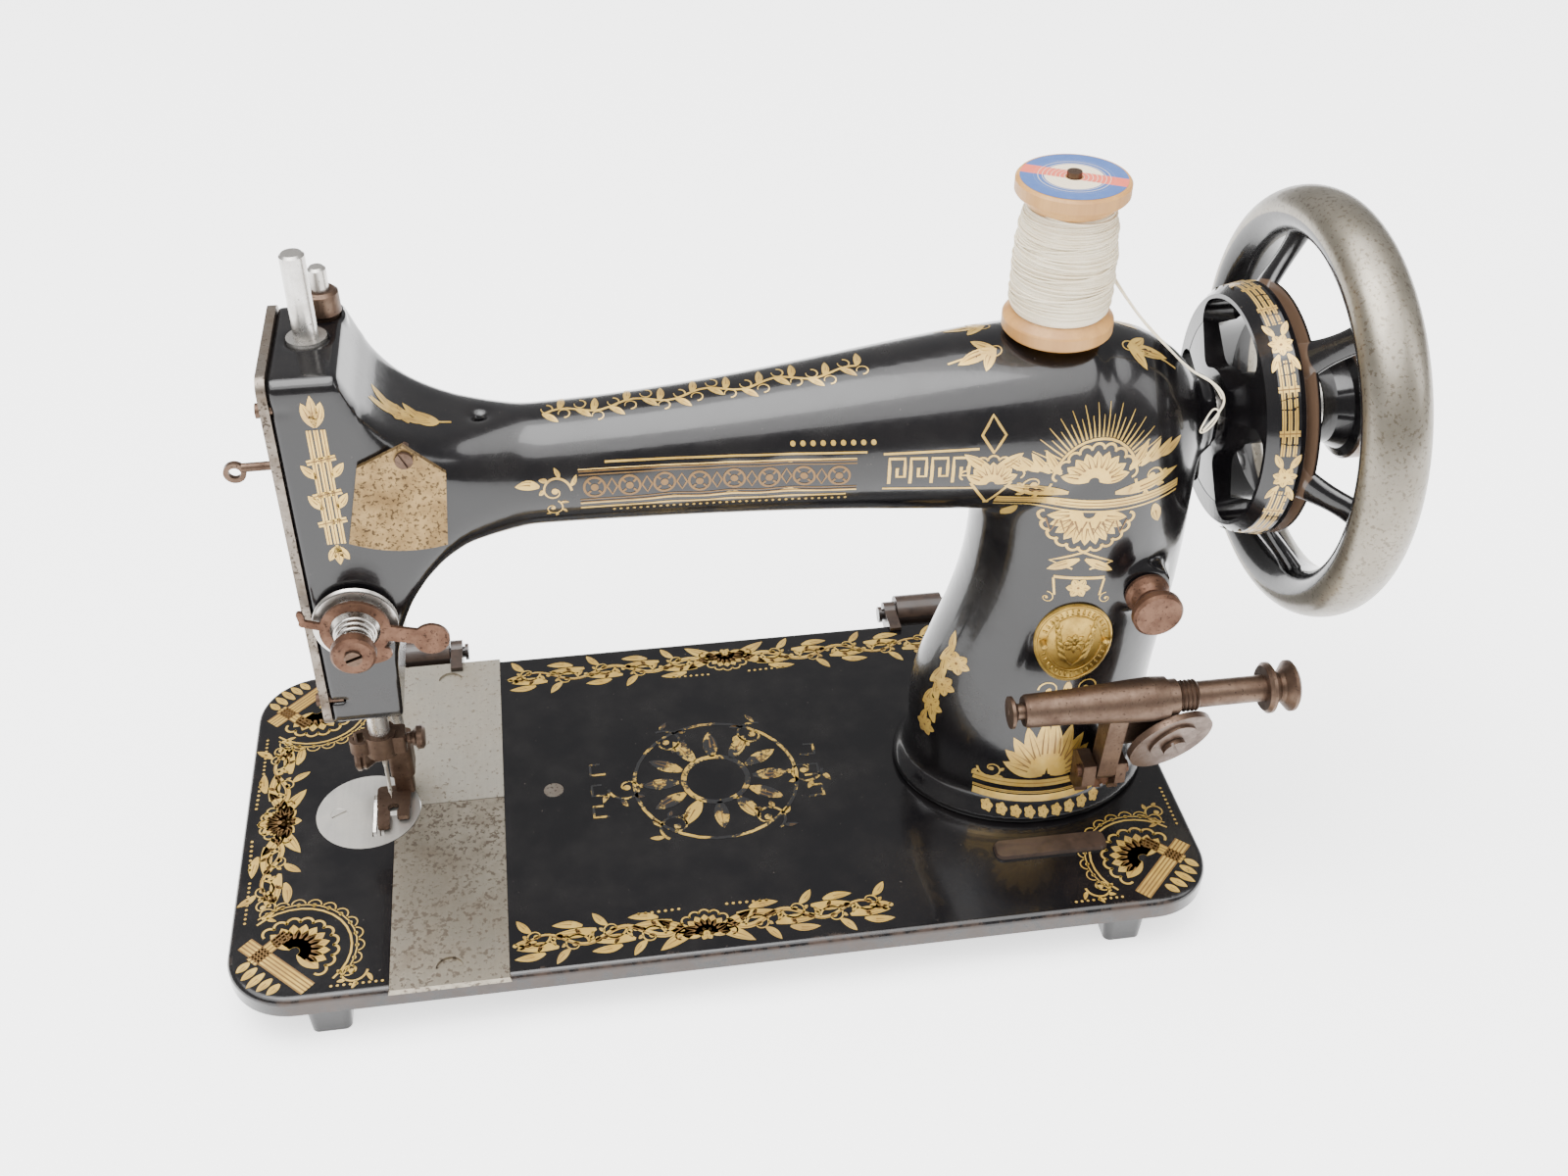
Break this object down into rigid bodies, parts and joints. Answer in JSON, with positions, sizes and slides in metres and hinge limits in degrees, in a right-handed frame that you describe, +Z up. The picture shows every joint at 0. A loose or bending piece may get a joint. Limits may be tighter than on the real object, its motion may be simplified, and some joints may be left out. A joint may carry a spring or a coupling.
{
  "type": "treadle sewing machine head",
  "caption": "Antique treadle sewing machine head on its flat bed, with working needle bar, presser, shuttle, feed, hand wheel, bobbin winder and thread spool.",
  "frame": {"origin": "on the surface under the bed's feet, below the middle of the overall box", "axes": "+X along the bed towards the hand wheel, +Y towards the back with the hinges, +Z up; millimetres in the source, metres in the row"},
  "size_m": [0.4262, 0.1966, 0.2791],
  "materials": {
    "japan": "gloss black stoved enamel with gold ornament",
    "nickel": "worn nickel plate",
    "steel": "bare machined steel",
    "rusty_steel": "tarnished brown steel",
    "brass": "aged",
    "bronze_bush": "machined",
    "beech": "waxed",
    "cotton": "spun thread"
  },
  "bodies": {
    "frame": {"bed": "japan", "bed_plug": "nickel", "arm": "japan", "arm_bolts": "steel", "needle_plate": "nickel", "needle_plate_screw": "nickel", "hinge_pins": "steel", "bushings": "bronze_bush", "face_plate": "nickel", "cover_screws": "steel", "rear_cover": "japan", "badge": "brass", "badge_rivets": "brass", "tension_stud": "rusty_steel", "tension_discs": "nickel", "tension_spring": "steel", "lever_pins": "steel", "winder_bracket": "rusty_steel", "winder_screws": "rusty_steel", "spool_pin": "steel", "thread_tail": "cotton", "presser_spring": "steel"},
    "arm_shaft": {"arm_shaft": "steel", "needle_crank": "steel", "shuttle_cam": "steel", "clutch_washer": "steel"},
    "hand_wheel": {"hand_wheel": "japan"},
    "stop_motion_knob": {"stop_motion_knob": "japan"},
    "needle_bar": {"needle_bar": "steel", "needle_bar_yoke": "steel", "needle_clamp": "rusty_steel", "needle": "steel"},
    "needle_clamp_screw": {"needle_clamp_screw": "rusty_steel"},
    "take_up_lever": {"take_up_lever": "steel"},
    "rocking_lever": {"rocking_lever": "steel"},
    "shuttle_lever": {"shuttle_lever": "steel", "shuttle": "steel", "shuttle_bobbin": "steel"},
    "feed_bar": {"feed_bar": "steel", "feed_dog": "steel"},
    "presser_lifter": {"presser_lifter": "rusty_steel"},
    "presser_bar": {"presser_bar": "steel", "presser_bar_guide": "steel", "presser_foot": "rusty_steel"},
    "presser_foot_screw": {"presser_foot_screw": "rusty_steel"},
    "presser_regulating_screw": {"presser_regulating_screw": "steel"},
    "slide_front": {"slide_front": "steel"},
    "slide_back": {"slide_back": "steel"},
    "hinge_left": {"hinge_left": "rusty_steel"},
    "hinge_right": {"hinge_right": "rusty_steel"},
    "inspection_cover": {"inspection_cover": "nickel"},
    "tension_lever": {"tension_lever": "rusty_steel"},
    "tension_nut": {"tension_nut": "rusty_steel"},
    "stitch_regulator": {"stitch_regulator": "rusty_steel"},
    "winder_frame": {"winder_frame": "rusty_steel", "winder_gear_screw": "rusty_steel"},
    "winder_spindle": {"winder_spindle": "rusty_steel"},
    "winder_gear": {"winder_gear": "rusty_steel"},
    "spool": {"spool": "beech", "spool_thread": "cotton"}
  },
  "joints": [
    {"name": "arm_shaft_turn", "type": "hinge", "parent": "frame", "child": "arm_shaft", "pos_m": [-0.02893, -0.0092, 0.1835], "axis": [1, 0, 0], "range_deg": [0, 180]},
    {"name": "hand_wheel_turn", "type": "hinge", "parent": "arm_shaft", "child": "hand_wheel", "pos_m": [0.17107, -0.0092, 0.1835], "axis": [1, 0, 0], "continuous": true},
    {"name": "stop_motion_knob_turn", "type": "hinge", "parent": "arm_shaft", "child": "stop_motion_knob", "pos_m": [0.20107, -0.0092, 0.1835], "axis": [1, 0, 0], "range_deg": [-90, 90]},
    {"name": "needle_bar_slide", "type": "slide", "parent": "frame", "child": "needle_bar", "axis": [0, 0, -1], "range_m": [0, 0.023]},
    {"name": "needle_clamp_screw_turn", "type": "hinge", "parent": "needle_bar", "child": "needle_clamp_screw", "pos_m": [-0.15493, -0.0092, 0.063], "axis": [1, 0, 0], "range_deg": [-180, 180]},
    {"name": "take_up", "type": "hinge", "parent": "frame", "child": "take_up_lever", "pos_m": [-0.16393, 0.0073, 0.184], "axis": [1, 0, 0], "range_deg": [0, 50]},
    {"name": "rocking_lever_rock", "type": "hinge", "parent": "frame", "child": "rocking_lever", "pos_m": [0.09707, -0.0092, 0.109], "axis": [1, 0, 0], "range_deg": [-6.2, 0]},
    {"name": "shuttle_lever_swing", "type": "hinge", "parent": "frame", "child": "shuttle_lever", "pos_m": [0.06607, -0.0092, 0.007], "axis": [0, 0, 1], "range_deg": [-20.5, 0]},
    {"name": "feed_bar_slide", "type": "slide", "parent": "frame", "child": "feed_bar", "axis": [0, 1, 0], "range_m": [0, 0.004]},
    {"name": "presser_lifter_turn", "type": "hinge", "parent": "frame", "child": "presser_lifter", "pos_m": [-0.15793, 0.0008, 0.116], "axis": [0, -1, 0], "range_deg": [0, 80]},
    {"name": "presser_bar_lift", "type": "slide", "parent": "frame", "child": "presser_bar", "axis": [0, 0, 1], "range_m": [0, 0.007], "deforming": ["presser_spring"]},
    {"name": "presser_foot_screw_turn", "type": "hinge", "parent": "presser_bar", "child": "presser_foot_screw", "pos_m": [-0.15893, 0.0048, 0.043], "axis": [-1, 0, 0], "range_deg": [-180, 180]},
    {"name": "presser_regulating_screw_turn", "type": "hinge", "parent": "frame", "child": "presser_regulating_screw", "pos_m": [-0.15043, 0.0068, 0.239], "axis": [0, 0, 1], "range_deg": [-180, 180]},
    {"name": "slide_front_pull", "type": "slide", "parent": "frame", "child": "slide_front", "axis": [0, -1, 0], "range_m": [0, 0.06]},
    {"name": "slide_back_pull", "type": "slide", "parent": "frame", "child": "slide_back", "axis": [0, 1, 0], "range_m": [0, 0.0016]},
    {"name": "hinge_left_turn", "type": "hinge", "parent": "frame", "child": "hinge_left", "pos_m": [-0.14393, 0.0903, 0.0215], "axis": [1, 0, 0], "range_deg": [0, 95]},
    {"name": "hinge_right_turn", "type": "hinge", "parent": "frame", "child": "hinge_right", "pos_m": [0.07807, 0.0903, 0.0215], "axis": [1, 0, 0], "range_deg": [0, 95]},
    {"name": "inspection_cover_turn", "type": "hinge", "parent": "frame", "child": "inspection_cover", "pos_m": [-0.12743, -0.0382, 0.208], "axis": [0, -1, 0], "range_deg": [0, 100]},
    {"name": "tension_lever_turn", "type": "hinge", "parent": "frame", "child": "tension_lever", "pos_m": [-0.15153, -0.0422, 0.144], "axis": [0, -1, 0], "range_deg": [0, 20]},
    {"name": "tension_nut_turn", "type": "hinge", "parent": "frame", "child": "tension_nut", "pos_m": [-0.15153, -0.0552, 0.144], "axis": [0, -1, 0], "range_deg": [-180, 180]},
    {"name": "stitch_regulator_turn", "type": "hinge", "parent": "frame", "child": "stitch_regulator", "pos_m": [0.12707, -0.0392, 0.131], "axis": [0, -1, 0], "range_deg": [-180, 180]},
    {"name": "winder_frame_swing", "type": "hinge", "parent": "frame", "child": "winder_frame", "pos_m": [0.11607, -0.0552, 0.055], "axis": [-1, 0, 0], "range_deg": [0, 9]},
    {"name": "winder_spindle_turn", "type": "hinge", "parent": "winder_frame", "child": "winder_spindle", "pos_m": [0.11107, -0.0592, 0.092], "axis": [1, 0, 0], "continuous": true},
    {"name": "winder_gear_turn", "type": "hinge", "parent": "winder_frame", "child": "winder_gear", "pos_m": [0.13907, -0.0618, 0.0726], "axis": [0.2018, -0.9282, -0.3127], "continuous": true},
    {"name": "spool_turn", "type": "hinge", "parent": "frame", "child": "spool", "pos_m": [0.09357, -0.0092, 0.244], "axis": [0, 0, 1], "continuous": true}
  ],
  "couplings": [
    {"joint": "arm_shaft_turn", "follows": "needle_bar_slide", "rad_per_m": 136.59},
    {"joint": "take_up", "follows": "needle_bar_slide", "rad_per_m": 37.931},
    {"joint": "rocking_lever_rock", "follows": "needle_bar_slide", "rad_per_m": -4.6578},
    {"joint": "shuttle_lever_swing", "follows": "needle_bar_slide", "rad_per_m": -15.476},
    {"joint": "feed_bar_slide", "follows": "needle_bar_slide", "ratio": 0.17348},
    {"joint": "presser_lifter_turn", "follows": "presser_bar_lift", "rad_per_m": 199.46},
    {"joint": "winder_gear_turn", "follows": "winder_spindle_turn", "ratio": 0.016667}
  ]
}
